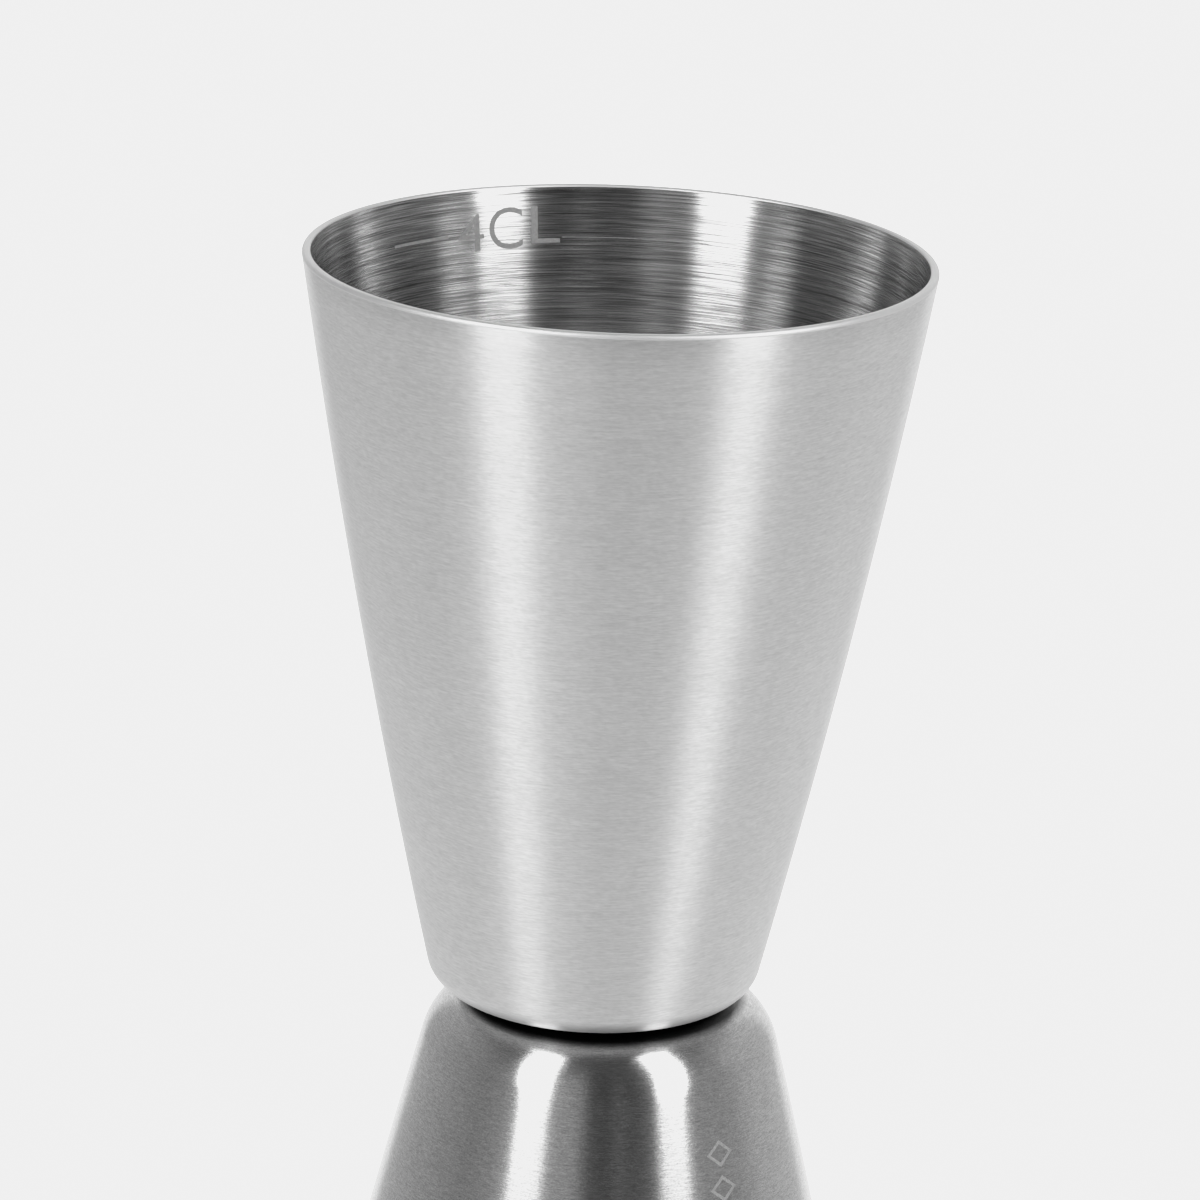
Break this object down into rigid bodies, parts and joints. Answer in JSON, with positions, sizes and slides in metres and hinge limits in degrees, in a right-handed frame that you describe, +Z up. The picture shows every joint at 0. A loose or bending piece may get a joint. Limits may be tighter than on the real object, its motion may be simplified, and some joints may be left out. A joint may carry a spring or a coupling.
{
  "type": "bar jigger",
  "caption": "Double-ended spirit measure: a tall tapered steel cup welded base to base on a shorter, wider-shouldered cup, with etched fill lines inside.",
  "frame": {"origin": "on the table, on the tall cup's axis, with the short cup's lip resting on the table", "axes": "+Z up along the tall cup's axis to its open mouth, +X towards the side the short cup is offset to"},
  "size_m": [0.043, 0.043, 0.0857],
  "materials": {
    "satin_steel": "fine satin brushing round the cup, coarser turned grooves inside",
    "brushed_steel": "brighter circumferential brushing",
    "weld_steel": "dull, as welded",
    "etched_mark": "matte laser etching"
  },
  "bodies": {
    "root": {"upper_cup": "satin_steel", "lower_cup": "brushed_steel", "weld_nugget_1": "weld_steel", "weld_nugget_2": "weld_steel", "weld_nugget_3": "weld_steel"}
  },
  "joints": []
}
